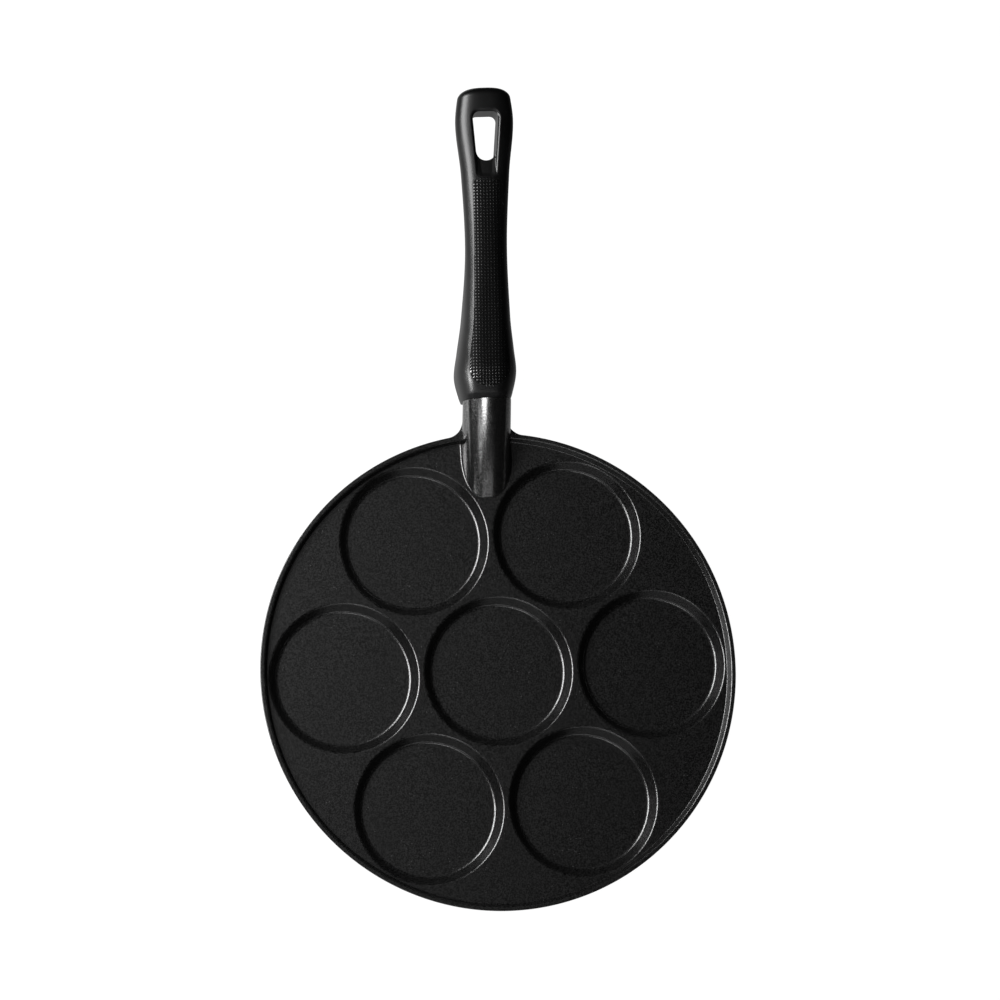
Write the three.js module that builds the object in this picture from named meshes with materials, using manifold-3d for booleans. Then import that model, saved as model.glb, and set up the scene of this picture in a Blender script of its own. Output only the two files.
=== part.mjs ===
// Plett pan: one casting with shallow round wells, and a moulded handle held on the casting's tang by a long screw.
// Millimetres, +Z up, +Y from the pan towards the handle's hanging end. The origin is the centre of the middle
// well's underside, on the surface that the pan stands on.

import * as THREE from "three";
import { mergeVertices } from "three/addons/utils/BufferGeometryUtils.js";
import Module from "manifold-3d";

// Wells: the radii are those of the sharp corners, before rounding.
const RING_WELLS = 6;
const WELL_MOUTH_RADIUS = 40.8;
const WELL_FLOOR_RADIUS = 37;
const WELL_DEPTH = 6;
const WELL_WEB = 3.3;
const WELL_WALL = 3;
const WELL_FLOOR_THICKNESS = 3.5;
const WELL_FLOOR_FILLET = 2;
const WELL_MOUTH_ROUND = 1.1;
const WELL_FOOT_ROUND = 1.2;

// Deck between the wells, and the rim around it.
const DECK_THICKNESS = 3.5;
const DECK_MARGIN = 1.55;
const RIM_HEIGHT = 5;
const RIM_TOP_WIDTH = 2.75;
const RIM_INNER_LEAN = 1.15;
const RIM_OUTER_LEAN = 1.5;
const RIM_INNER_FILLET = 0.9;
const RIM_TOP_ROUND = 0.8;
const RIM_FOOT_ROUND = 2.5;

// Neck: a tongue that climbs out of the deck, crosses the rim and ends in a shoulder with a tang.
const NECK_WIDTH = 26.4;
const NECK_REACH = 35;
const NECK_LENGTH = 16;
const NECK_TIP_RISE = THREE.MathUtils.degToRad(33);
const NECK_END_RISE = THREE.MathUtils.degToRad(24);
const NECK_TIP_CROWN = 16;
const NECK_END_CROWN = 10;
const NECK_TIP_BELLY = 19;
const NECK_END_BELLY = 9;
const NECK_TOP_SQUARENESS = 2.1;
const NECK_BELLY_SQUARENESS = 3.5;
const NECK_FLARE = 7;
const TANG_WIDTH = 15;
const TANG_THICKNESS = 11;
const TANG_LENGTH = 28;
const TANG_ROOT = 8;
const TANG_CORNER = 2;

// Screw and washers, on one line that climbs from the middle of the neck's shoulder.
const SCREW_RISE = THREE.MathUtils.degToRad(21);
const SCREW_RADIUS = 2.5;
const SCREW_ENGAGEMENT = 20;
const SCREW_HEAD_RADIUS = 4.6;
const SCREW_HEAD_HEIGHT = 3.6;
const SCREW_HEAD_ROUND = 1.8;
const SCREW_POINT_CHAMFER = 0.6;
const RECESS_SPAN = 5.2;
const RECESS_BLADE = 1.1;
const RECESS_DEPTH = 2.2;
const WASHER_RADIUS = 5;
const WASHER_THICKNESS = 1;
const SPRING_RADIUS = 4.5;
const SPRING_THICKNESS = 1.4;
const SPRING_SLIT = 0.8;
const SPRING_SLIT_ANGLE = THREE.MathUtils.degToRad(25);

// Grip: lengths run level, from the neck's shoulder to the hanging end.
const GRIP_LENGTH = 160.3;
const GRIP_START_RISE = NECK_END_RISE;
const GRIP_END_RISE = THREE.MathUtils.degToRad(15.5);
const GRIP_TOP_SQUARENESS = 2.6;
const GRIP_BELLY_SQUARENESS = 2.2;
const COLLAR_DEPTH = 2.2;
const COLLAR_INSET = 1.4;
const END_ROUND = 5;
const END_SIDE_INSET = 8;
const END_FACE_INSET = 4;
const HANG_HOLE_MARGIN = 12.8;
const HANG_HOLE_LENGTH = 26;
const HANG_HOLE_FAR_WIDTH = 14.4;
const HANG_HOLE_NEAR_WIDTH = 10.4;
const HANG_HOLE_CORNER = 3.4;
const RAMP_LENGTH = 11;
const RAMP_WIDTH = 12;
const RAMP_DEPTH = 1.5;
const SHOULDER_WALL = 26;

// Grip sections, by distance from the shoulder or from the hanging end: width, crown above the centre line, drop of
// the widest line below the centre line, and belly below the widest line.
const GUARD_AT = 15;
const THROAT_AT = 27;
const SHANK_AT = 43;
const WAIST_AT = 79;
const PALM_FROM_END = 44;
const HANG_FROM_END = 17;
const COLLAR_WIDTH = 29.8;
const GUARD_WIDTH = 33.6;
const THROAT_WIDTH = 30.6;
const SHANK_WIDTH = 26.4;
const WAIST_WIDTH = 22.8;
const PALM_WIDTH = 26.2;
const HANG_WIDTH = 31.5;
const END_WIDTH = 27.4;
const COLLAR_CROWN = 11.6;
const GUARD_CROWN = 12;
const WAIST_CROWN = 9.5;
const END_CROWN = 7.9;
const COLLAR_DROP = 10;
const GUARD_DROP = 13;
const THROAT_DROP = 12;
const WAIST_DROP = 0.6;
const COLLAR_BELLY = 7.2;
const GUARD_BELLY = 7.5;
const WAIST_BELLY = 9;
const END_BELLY = 7.5;

// Clearances between pieces, and how finely round forms are cut.
const FIT_CLEARANCE = 0.3;
const BORE_CLEARANCE = 0.6;
const CUT_LIFT = 0.02;
const RIM_SEGMENTS = 96;
const WELL_SEGMENTS = 40;
const SMALL_SEGMENTS = 24;
const ARC_STEPS = 2;
const SECTION_POINTS = 28;
const NECK_RINGS = 12;
const GRIP_RINGS = 28;
const END_RINGS = 4;

// Heights and places that follow from the sizes above.
const DECK_TOP = WELL_FLOOR_THICKNESS + WELL_DEPTH;
const DECK_UNDERSIDE = DECK_TOP - DECK_THICKNESS;
const RIM_TOP = DECK_TOP + RIM_HEIGHT;
const WELL_SPACING = 2 * WELL_MOUTH_RADIUS + WELL_WEB;
const WELL_PITCH = WELL_SPACING * Math.max(1, 0.5 / Math.sin(Math.PI / RING_WELLS));
const RIM_FOOT_RADIUS = WELL_PITCH + WELL_MOUTH_RADIUS + DECK_MARGIN;
const RIM_INNER_RADIUS = RIM_FOOT_RADIUS + RIM_INNER_LEAN;
const RIM_OUTER_RADIUS = RIM_INNER_RADIUS + RIM_TOP_WIDTH;
const NECK_TIP_Y = RIM_OUTER_RADIUS - NECK_REACH;
const NECK_RUN = NECK_REACH + NECK_LENGTH;
const JOINT_Y = NECK_TIP_Y + NECK_RUN;
const JOINT_Z = neckTop(NECK_RUN) - NECK_END_CROWN;
const SHOULDER_AT = TANG_LENGTH + SHOULDER_WALL;
const BORE_RADIUS = WASHER_RADIUS + BORE_CLEARANCE;
const HANG_AT = GRIP_LENGTH - HANG_FROM_END;
const PALM_AT = GRIP_LENGTH - PALM_FROM_END;
const HANG_HOLE_FAR = GRIP_LENGTH - HANG_HOLE_MARGIN;
const HANG_HOLE_NEAR = HANG_HOLE_FAR - HANG_HOLE_LENGTH;

const wasm = await Module();
wasm.setup();

// A closed three.js geometry as a solid that can be cut and joined.
function solid(geometry) {
  const bare = geometry.clone();
  bare.deleteAttribute("normal");
  bare.deleteAttribute("uv");
  const merged = mergeVertices(bare, 1e-4);
  return new wasm.Manifold(
    new wasm.Mesh({
      numProp: 3,
      vertProperties: new Float32Array(merged.attributes.position.array),
      triVerts: new Uint32Array(merged.index.array),
    }),
  );
}

// A solid as a three.js geometry again.
function geometryOf(body) {
  const mesh = body.getMesh();
  const geometry = new THREE.BufferGeometry();
  geometry.setAttribute("position", new THREE.BufferAttribute(mesh.vertProperties, 3));
  geometry.setIndex(new THREE.BufferAttribute(mesh.triVerts, 1));
  geometry.computeVertexNormals();
  return geometry;
}

// The outline through corners [x, y, radius], each corner rounded as far as its sides allow.
function rounded(corners, closed = false) {
  const points = [];
  const count = corners.length;
  corners.forEach(([x, y, radius = 0], i) => {
    const corner = new THREE.Vector2(x, y);
    const atEnd = !closed && (i === 0 || i === count - 1);
    if (radius === 0 || atEnd) {
      points.push(corner);
      return;
    }
    const sides = [corners[(i + count - 1) % count], corners[(i + 1) % count]].map(([nx, ny, nextRadius = 0]) => {
      const way = new THREE.Vector2(nx, ny).sub(corner);
      const room = way.length() * (nextRadius > 0 ? 0.49 : 0.98);
      return { way: way.normalize(), room };
    });
    const halfAngle = Math.acos(sides[0].way.dot(sides[1].way)) / 2;
    const reach = Math.min(radius / Math.tan(halfAngle), sides[0].room, sides[1].room);
    const arcRadius = reach * Math.tan(halfAngle);
    const inward = sides[0].way.clone().add(sides[1].way).normalize();
    const centre = corner.clone().addScaledVector(inward, arcRadius / Math.sin(halfAngle));
    const from = corner.clone().addScaledVector(sides[0].way, reach).sub(centre);
    const to = corner.clone().addScaledVector(sides[1].way, reach).sub(centre);
    const sweep = Math.atan2(from.cross(to), from.dot(to));
    for (let step = 0; step <= ARC_STEPS; step += 1) {
      points.push(from.clone().rotateAround(new THREE.Vector2(), (sweep * step) / ARC_STEPS).add(centre));
    }
  });
  return points;
}

// A turned form about the Z axis, from corners [radius, height, rounding] that start and end on the axis.
function turned(corners, segments) {
  return new THREE.LatheGeometry(rounded(corners), segments).rotateX(Math.PI / 2);
}

// A turned form about the screw's own line, from corners [radius, distance from the neck's shoulder, rounding].
function turnedOnScrew(corners) {
  return new THREE.LatheGeometry(rounded(corners), SMALL_SEGMENTS);
}

// A closed skin over rings of points, with a fan over each end.
function lofted(rings) {
  const count = rings[0].length;
  const middle = (ring) => ring.reduce((sum, p) => sum.add(p), new THREE.Vector3()).divideScalar(count);
  const points = [...rings.flat(), middle(rings[0]), middle(rings[rings.length - 1])];
  const first = rings.length * count;
  const faces = [];
  for (let k = 0; k < count; k += 1) {
    const next = (k + 1) % count;
    for (let r = 0; r < rings.length - 1; r += 1) {
      const a = r * count;
      const b = a + count;
      faces.push(a + k, b + k, a + next, a + next, b + k, b + next);
    }
    const last = (rings.length - 1) * count;
    faces.push(first, k, next, first + 1, last + next, last + k);
  }
  return new THREE.BufferGeometry().setFromPoints(points).setIndex(faces);
}

// A rounded section across the Y axis: half width, crown above the widest line and belly below it.
function section(y, widestZ, halfWidth, crown, belly, topPower, bellyPower) {
  const ring = [];
  for (let k = 0; k < SECTION_POINTS; k += 1) {
    const angle = (2 * Math.PI * k) / SECTION_POINTS;
    const c = Math.cos(angle);
    const s = Math.sin(angle);
    const power = s > 0 ? topPower : bellyPower;
    const height = s > 0 ? crown : belly;
    const x = Math.sign(c) * halfWidth * Math.abs(c) ** (2 / power);
    const z = Math.sign(s) * height * Math.abs(s) ** (2 / power);
    ring.push(new THREE.Vector3(x, y, widestZ + z));
  }
  return ring;
}

// Height of the neck's top, by level distance from the tongue's tip.
function neckTop(run) {
  const tip = Math.tan(NECK_TIP_RISE);
  const end = Math.tan(NECK_END_RISE);
  return DECK_TOP + tip * run + ((end - tip) * run * run) / (2 * NECK_RUN);
}

// Height of the grip's centre line, by level distance from the neck's shoulder.
function gripCentre(at) {
  const start = Math.tan(GRIP_START_RISE);
  const end = Math.tan(GRIP_END_RISE);
  return JOINT_Z + start * at + ((end - start) * at * at) / (2 * GRIP_LENGTH);
}

// The grip's sizes along its length, as [distance from the neck's shoulder, size].
const GRIP_WIDTHS = [
  [0, COLLAR_WIDTH],
  [GUARD_AT, GUARD_WIDTH],
  [THROAT_AT, THROAT_WIDTH],
  [SHANK_AT, SHANK_WIDTH],
  [WAIST_AT, WAIST_WIDTH],
  [PALM_AT, PALM_WIDTH],
  [HANG_AT, HANG_WIDTH],
  [GRIP_LENGTH, END_WIDTH],
];
const GRIP_CROWNS = [[0, COLLAR_CROWN], [GUARD_AT, GUARD_CROWN], [WAIST_AT, WAIST_CROWN], [GRIP_LENGTH, END_CROWN]];
const GRIP_DROPS = [
  [0, COLLAR_DROP],
  [GUARD_AT, GUARD_DROP],
  [THROAT_AT, THROAT_DROP],
  [WAIST_AT, WAIST_DROP],
  [PALM_AT, 0],
  [GRIP_LENGTH, 0],
];
const GRIP_BELLIES = [[0, COLLAR_BELLY], [GUARD_AT, GUARD_BELLY], [WAIST_AT, WAIST_BELLY], [GRIP_LENGTH, END_BELLY]];

// A size between its rows, on a smooth curve that never overshoots them.
function sizeAt(rows, at) {
  const slopes = rows.slice(1).map(([place, size], i) => (size - rows[i][1]) / (place - rows[i][0]));
  const tangent = (i) => {
    const before = slopes[Math.max(i - 1, 0)];
    const after = slopes[Math.min(i, slopes.length - 1)];
    return before * after <= 0 ? 0 : (2 * before * after) / (before + after);
  };
  const next = rows.findIndex(([place], i) => i > 0 && at <= place);
  const j = next < 0 ? rows.length - 1 : next;
  const [fromPlace, fromSize] = rows[j - 1];
  const [toPlace, toSize] = rows[j];
  const span = toPlace - fromPlace;
  const t = (at - fromPlace) / span;
  const ease = t * t * (3 - 2 * t);
  const leave = t * (1 - t) * (1 - t) * tangent(j - 1);
  const arrive = t * t * (1 - t) * tangent(j);
  return fromSize + (toSize - fromSize) * ease + span * (leave - arrive);
}

// Puts a form that was made along the screw's line into the pan's frame.
const screwLine = new THREE.Matrix4()
  .makeTranslation(0, JOINT_Y, JOINT_Z)
  .multiply(new THREE.Matrix4().makeRotationX(SCREW_RISE));

// The tang's bar, larger all round by a clearance, from one distance to another along the screw's line.
function tangBar(clearance, from, to) {
  const x = TANG_WIDTH / 2 + clearance;
  const y = TANG_THICKNESS / 2 + clearance;
  const corner = TANG_CORNER + clearance;
  const corners = [[-x, -y, corner], [x, -y, corner], [x, y, corner], [-x, y, corner]];
  return new THREE.ExtrudeGeometry(new THREE.Shape(rounded(corners, true)), { depth: to - from, bevelEnabled: false })
    .rotateX(-Math.PI / 2)
    .translate(0, from, 0)
    .applyMatrix4(screwLine);
}

// A round bar along the screw's line.
function screwBore(radius, from, to) {
  return turnedOnScrew([[0, from], [radius, from], [radius, to], [0, to]]).applyMatrix4(screwLine);
}

// Deck and rim, turned as one plate.
function deckAndRim() {
  const outerFoot = RIM_OUTER_RADIUS - RIM_OUTER_LEAN;
  return turned(
    [
      [0, DECK_UNDERSIDE],
      [outerFoot, DECK_UNDERSIDE, RIM_FOOT_ROUND],
      [RIM_OUTER_RADIUS, RIM_TOP, RIM_TOP_ROUND],
      [RIM_INNER_RADIUS, RIM_TOP, RIM_TOP_ROUND],
      [RIM_FOOT_RADIUS, DECK_TOP, RIM_INNER_FILLET],
      [0, DECK_TOP],
    ],
    RIM_SEGMENTS,
  );
}

// Centres of the wells: one in the middle and a ring around it, with the neck between two of them.
function wellCentres() {
  const centres = [[0, 0]];
  for (let k = 0; k < RING_WELLS; k += 1) {
    const angle = (2 * Math.PI * (k + 0.5)) / RING_WELLS;
    centres.push([WELL_PITCH * Math.sin(angle), WELL_PITCH * Math.cos(angle)]);
  }
  return centres;
}

// The cup that stands below the deck around each well, with a wall of even thickness.
function wellCup() {
  const lean = (WELL_MOUTH_RADIUS - WELL_FLOOR_RADIUS) / WELL_DEPTH;
  const level = WELL_WALL * Math.hypot(1, lean);
  const footRadius = WELL_FLOOR_RADIUS - lean * WELL_FLOOR_THICKNESS + level;
  const top = DECK_UNDERSIDE + DECK_THICKNESS / 2;
  return turned(
    [
      [0, 0],
      [footRadius, 0, WELL_FOOT_ROUND],
      [footRadius + lean * top, top],
      [0, top],
    ],
    WELL_SEGMENTS,
  );
}

// The hollow of a well, with a filleted floor and a rounded mouth.
function wellHollow() {
  const lean = (WELL_MOUTH_RADIUS - WELL_FLOOR_RADIUS) / WELL_DEPTH;
  const top = DECK_TOP + CUT_LIFT;
  const mouth = WELL_MOUTH_RADIUS + lean * CUT_LIFT;
  const lip = WELL_MOUTH_ROUND * Math.tan((Math.PI / 2 - Math.atan(lean)) / 2);
  return turned(
    [
      [0, WELL_FLOOR_THICKNESS],
      [WELL_FLOOR_RADIUS, WELL_FLOOR_THICKNESS, WELL_FLOOR_FILLET],
      [mouth, top, WELL_MOUTH_ROUND],
      [mouth + lip + CUT_LIFT, top],
      [0, top],
    ],
    WELL_SEGMENTS,
  );
}

// The neck's full bar, from below the deck at its tip to the shoulder.
function neckBar() {
  const start = -DECK_THICKNESS / Math.tan(NECK_TIP_RISE);
  const rings = [];
  for (let k = 0; k <= NECK_RINGS; k += 1) {
    const run = THREE.MathUtils.lerp(start, NECK_RUN, k / NECK_RINGS);
    const share = run / NECK_RUN;
    const crown = THREE.MathUtils.lerp(NECK_TIP_CROWN, NECK_END_CROWN, share);
    const belly = THREE.MathUtils.lerp(NECK_TIP_BELLY, NECK_END_BELLY, share);
    const widest = neckTop(run) - crown;
    const squareness = [NECK_TOP_SQUARENESS, NECK_BELLY_SQUARENESS];
    rings.push(section(NECK_TIP_Y + run, widest, NECK_WIDTH / 2, crown, belly, ...squareness));
  }
  return lofted(rings);
}

// The room below the deck that the neck's bar doesn't fill.
function belowDeck() {
  const top = DECK_UNDERSIDE + DECK_THICKNESS / 2;
  const radius = RIM_OUTER_RADIUS - RIM_OUTER_LEAN;
  const depth = NECK_TIP_CROWN + NECK_TIP_BELLY + DECK_TOP;
  return turned([[0, -depth], [radius, -depth], [radius, top], [0, top]], RIM_SEGMENTS);
}

// The web that rounds the rim into both sides of the neck, seen from above.
function neckFlare() {
  const side = NECK_WIDTH / 2;
  const inside = RIM_OUTER_RADIUS - RIM_TOP_WIDTH / 2;
  const centreX = side + NECK_FLARE;
  const centreY = Math.sqrt((RIM_OUTER_RADIUS + NECK_FLARE) ** 2 - centreX ** 2);
  const rimAngle = Math.atan2(-centreY, -centreX);
  const web = new THREE.Shape();
  const footX = (inside * centreX) / (RIM_OUTER_RADIUS + NECK_FLARE);
  const footY = (inside * centreY) / (RIM_OUTER_RADIUS + NECK_FLARE);
  web.moveTo(-footX, footY);
  web.lineTo(footX, footY);
  web.absarc(centreX, centreY, NECK_FLARE, rimAngle, -Math.PI, true);
  web.lineTo(-side, centreY);
  web.absarc(-centreX, centreY, NECK_FLARE, 0, -Math.PI - rimAngle, true);
  const bottom = DECK_UNDERSIDE + RIM_FOOT_ROUND;
  const depth = RIM_TOP - RIM_TOP_ROUND / 2 - bottom;
  return new THREE.ExtrudeGeometry(web, { depth, bevelEnabled: false, curveSegments: 3 * ARC_STEPS })
    .translate(0, 0, bottom);
}

// The whole casting, with the tapped hole in its tang.
function panCasting() {
  let body = solid(deckAndRim());
  const cup = solid(wellCup());
  const hollow = solid(wellHollow());
  const centres = wellCentres();
  for (const [x, y] of centres) body = body.add(cup.translate([x, y, 0]));
  for (const [x, y] of centres) body = body.subtract(hollow.translate([x, y, 0]));
  const neck = solid(neckBar()).subtract(solid(belowDeck()));
  const tang = solid(tangBar(0, -TANG_ROOT, TANG_LENGTH));
  const threadFrom = TANG_LENGTH - SCREW_ENGAGEMENT - 2 * SCREW_RADIUS;
  const tapped = solid(screwBore(SCREW_RADIUS + FIT_CLEARANCE, threadFrom, TANG_LENGTH + SCREW_RADIUS));
  return body.add(neck).add(solid(neckFlare())).add(tang).subtract(tapped);
}

// The grip's outer form, from its collar at the neck to its rounded hanging end.
function gripForm() {
  const stations = [FIT_CLEARANCE];
  for (let k = 0; k <= GRIP_RINGS; k += 1) {
    stations.push(THREE.MathUtils.lerp(COLLAR_DEPTH, GRIP_LENGTH - END_ROUND, k / GRIP_RINGS));
  }
  for (let k = 1; k <= END_RINGS; k += 1) {
    stations.push(GRIP_LENGTH - END_ROUND * (1 - Math.sin((Math.PI / 2) * (k / END_RINGS))));
  }
  const rings = stations.map((at) => {
    const collar = Math.max(0, 1 - at / COLLAR_DEPTH) * COLLAR_INSET;
    const turn = Math.max(0, (at - GRIP_LENGTH) / END_ROUND + 1);
    const closing = 1 - Math.sqrt(Math.max(0, 1 - turn * turn));
    const inset = collar + closing * END_FACE_INSET;
    const drop = sizeAt(GRIP_DROPS, at);
    const halfWidth = sizeAt(GRIP_WIDTHS, at) / 2 - collar / 2 - closing * END_SIDE_INSET;
    const widest = gripCentre(at) - drop;
    const crown = sizeAt(GRIP_CROWNS, at) + drop - inset;
    const belly = sizeAt(GRIP_BELLIES, at) - inset;
    return section(JOINT_Y + at, widest, halfWidth, crown, belly, GRIP_TOP_SQUARENESS, GRIP_BELLY_SQUARENESS);
  });
  return lofted(rings);
}

// The hanging hole, upright and wider towards the end.
function hangHole() {
  const half = HANG_HOLE_LENGTH / 2;
  const far = HANG_HOLE_FAR_WIDTH / 2;
  const near = HANG_HOLE_NEAR_WIDTH / 2;
  const corner = HANG_HOLE_CORNER;
  const corners = [[-near, -half, corner], [near, -half, corner], [far, half, corner], [-far, half, corner]];
  const at = HANG_HOLE_NEAR + half;
  const crown = sizeAt(GRIP_CROWNS, at);
  const top = gripCentre(at) + crown;
  const depth = 4 * (crown + sizeAt(GRIP_BELLIES, at));
  return new THREE.ExtrudeGeometry(new THREE.Shape(rounded(corners, true)), { depth, bevelEnabled: false })
    .translate(0, JOINT_Y + at, top - depth / 2);
}

// The shallow ramp in the grip's top that leads into the hanging hole.
function ramp() {
  const at = HANG_HOLE_NEAR;
  const top = gripCentre(at) + sizeAt(GRIP_CROWNS, at);
  const fall = Math.atan2(gripCentre(at) - gripCentre(at - RAMP_LENGTH), RAMP_LENGTH);
  return new THREE.SphereGeometry(1, SMALL_SEGMENTS, SMALL_SEGMENTS / 2)
    .rotateX(Math.PI / 2)
    .scale(RAMP_WIDTH / 2, RAMP_LENGTH, RAMP_DEPTH)
    .rotateX(fall)
    .translate(0, JOINT_Y + at, top);
}

// The grip with its tang socket, screw hole, driver bore and hanging hole.
function handleGrip() {
  const holeAlong = (HANG_HOLE_NEAR + HANG_HOLE_LENGTH / 2) / Math.cos(SCREW_RISE);
  const socketFrom = -TANG_ROOT;
  const socketTo = TANG_LENGTH + FIT_CLEARANCE;
  return solid(gripForm())
    .subtract(solid(tangBar(FIT_CLEARANCE, socketFrom, socketTo)))
    .subtract(solid(screwBore(SCREW_RADIUS + FIT_CLEARANCE, socketTo - TANG_CORNER, SHOULDER_AT + TANG_CORNER)))
    .subtract(solid(screwBore(BORE_RADIUS, SHOULDER_AT, holeAlong)))
    .subtract(solid(hangHole()))
    .subtract(solid(ramp()));
}

// Seats of the washers and of the screw's head, along the screw's line.
const WASHER_AT = SHOULDER_AT + FIT_CLEARANCE;
const SPRING_AT = WASHER_AT + WASHER_THICKNESS + FIT_CLEARANCE;
const HEAD_AT = SPRING_AT + SPRING_THICKNESS + FIT_CLEARANCE;

// A flat ring around the screw.
function washerRing(radius, at, thickness) {
  const hole = SCREW_RADIUS + FIT_CLEARANCE;
  const corners = [[hole, at], [radius, at], [radius, at + thickness], [hole, at + thickness], [hole, at]];
  return turnedOnScrew(corners);
}

// The split washer, with its slit cut on a slant.
function springWasher() {
  const slit = new THREE.BoxGeometry(SPRING_RADIUS, 3 * SPRING_THICKNESS, SPRING_SLIT)
    .rotateX(SPRING_SLIT_ANGLE)
    .translate(SCREW_RADIUS + SPRING_RADIUS / 2, SPRING_AT + SPRING_THICKNESS / 2, 0);
  return solid(washerRing(SPRING_RADIUS, SPRING_AT, SPRING_THICKNESS)).subtract(solid(slit));
}

// The pan-head screw, with a cross recess for the driver.
function handleScrew() {
  const point = TANG_LENGTH - SCREW_ENGAGEMENT;
  const top = HEAD_AT + SCREW_HEAD_HEIGHT;
  const turnedScrew = turnedOnScrew([
    [0, point],
    [SCREW_RADIUS - SCREW_POINT_CHAMFER, point],
    [SCREW_RADIUS, point + SCREW_POINT_CHAMFER],
    [SCREW_RADIUS, HEAD_AT],
    [SCREW_HEAD_RADIUS, HEAD_AT],
    [SCREW_HEAD_RADIUS, top, SCREW_HEAD_ROUND],
    [0, top],
  ]);
  const blade = new THREE.BoxGeometry(RECESS_SPAN, 2 * RECESS_DEPTH, RECESS_BLADE).translate(0, top, 0);
  const cross = solid(blade).add(solid(blade.clone().rotateY(Math.PI / 2)));
  return solid(turnedScrew).subtract(cross);
}

// Finishes.
const coated = new THREE.MeshStandardMaterial({ color: 0x1f1f20, roughness: 0.45, metalness: 0.6 });
const phenolic = new THREE.MeshStandardMaterial({ color: 0x0e0e10, roughness: 0.35, metalness: 0 });
const zincScrew = new THREE.MeshStandardMaterial({ color: 0xb4b6ba, roughness: 0.35, metalness: 1 });
const springSteel = new THREE.MeshStandardMaterial({ color: 0x8a8d92, roughness: 0.4, metalness: 1 });
const zincWasher = new THREE.MeshStandardMaterial({ color: 0xc0c2c4, roughness: 0.3, metalness: 1 });

// One named mesh for each piece.
function piece(name, geometry, material) {
  const mesh = new THREE.Mesh(geometry, material);
  mesh.name = name;
  return mesh;
}

const pan = new THREE.Group();
pan.add(piece("pan_casting", geometryOf(panCasting()), coated));
pan.add(piece("handle_grip", geometryOf(handleGrip()), phenolic));

const fastening = new THREE.Group();
fastening.position.set(0, JOINT_Y, JOINT_Z);
fastening.rotation.x = SCREW_RISE;
fastening.add(piece("flat_washer", washerRing(WASHER_RADIUS, WASHER_AT, WASHER_THICKNESS), zincWasher));
fastening.add(piece("spring_washer", geometryOf(springWasher()), springSteel));
fastening.add(piece("handle_screw", geometryOf(handleScrew()), zincScrew));
pan.add(fastening);

export default pan;
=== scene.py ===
import math

import bmesh
import bpy
from mathutils import Matrix, Vector
from mathutils.geometry import delaunay_2d_cdt


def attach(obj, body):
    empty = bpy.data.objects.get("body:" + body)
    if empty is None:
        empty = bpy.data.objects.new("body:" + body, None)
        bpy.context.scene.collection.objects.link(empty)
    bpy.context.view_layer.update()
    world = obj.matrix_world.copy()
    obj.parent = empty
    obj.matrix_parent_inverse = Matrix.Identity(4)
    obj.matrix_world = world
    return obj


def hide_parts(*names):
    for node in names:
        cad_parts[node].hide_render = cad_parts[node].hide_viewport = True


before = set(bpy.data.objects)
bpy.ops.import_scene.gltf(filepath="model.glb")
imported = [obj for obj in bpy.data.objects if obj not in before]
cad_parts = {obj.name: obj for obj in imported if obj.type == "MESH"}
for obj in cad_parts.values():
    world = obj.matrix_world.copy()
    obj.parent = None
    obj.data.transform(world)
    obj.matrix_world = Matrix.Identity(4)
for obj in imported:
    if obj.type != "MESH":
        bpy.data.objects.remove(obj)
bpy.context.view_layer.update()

# Pan casting
# One aluminium casting under a black non-stick coat: a thin deck with seven shallow wells, an upstanding rim
# and a tongue that climbs out of the deck into the neck, with a tang at its end that is tapped for the screw.
# Sizes here and in the grip are millimetres, and every mesh is scaled to metres when it is finished.
MILLIMETRE = 0.001
RING_WELLS = 6
WELL_MOUTH = 40.8
WELL_FLOOR = 37.0
WELL_DEPTH = 6.0
WELL_WEB = 3.3
WELL_WALL = 3.0
FLOOR_THICKNESS = 3.5
FLOOR_FILLET = 2.5
MOUTH_ROUND = 1.5
FOOT_ROUND = 1.2
FLOOR_BAND = 6
FLOOR_RINGS = (0, 10, 20)
FOOT_RINGS = (34, 24, 12, 0)
DECK_THICKNESS = 3.5
DECK_MARGIN = 1.55
RIM_HEIGHT = 5.0
RIM_TOP_WIDTH = 2.75
RIM_INNER_LEAN = 1.15
RIM_OUTER_LEAN = 1.5
RIM_INNER_FILLET = 0.7
RIM_TOP_ROUND = 1.15
RIM_OUTER_ROUND = 0.35
RIM_OUTER_INSET = 0.1
RIM_FOOT_ROUND = 2.5
DECK_LEAD = 1.5
UNDER_LEAD = 6
NECK_WIDTH = 26.4
NECK_REACH = 35.0
NECK_LENGTH = 16.0
NECK_RISE = (math.radians(33), math.radians(24))
NECK_CROWN = (16.0, 10.0)
NECK_BELLY = (19.0, 9.0)
NECK_TOP_SQUARENESS = (2.6, 2.1)
NECK_BELLY_SQUARENESS = 3.5
NECK_FILLET = 1.3
BURIED_SPREAD = 0.002
SKIRT_REACH = 0.6
SKIRT_DEPTH = 0.06
ROOT_REACH = 0.9
ROOT_DROP = 0.15
ROOT_DEPTH = 1.0
NEARLY_UPRIGHT = 1e-6
WELL_CLEAR = 0.05
WEB_FLARE = 10.0
WEB_TUCK = 0.9
WEB_EDGE = 1.2
WEB_SEAT = 0.3
WEB_EDGE_STEPS = 6
WEB_ARC_STEPS = 24
TANG_WIDTH = 15.0
TANG_THICKNESS = 11.0
TANG_LENGTH = 28.0
TANG_ROOT = 8.0
TANG_CORNER = 2.0
SCREW_RISE = math.radians(21)
SCREW_RADIUS = 2.5
SCREW_ENGAGEMENT = 20.0
CLEARANCE = 0.3
OVERLAP = 1.0
WELL_POINTS = 144
RIM_POINTS = 320
ARC_STEPS = 8
PLATE_TOLERANCE = 1e-7
WELD = 1e-6
PAN_CREASE = math.radians(32)
COAT_TONES = (0.0002, 0.0075)
CLOUD_TONE = 0.004
SPECK_TONE = 0.16
SPECK_SPACING = 1.6
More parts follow.
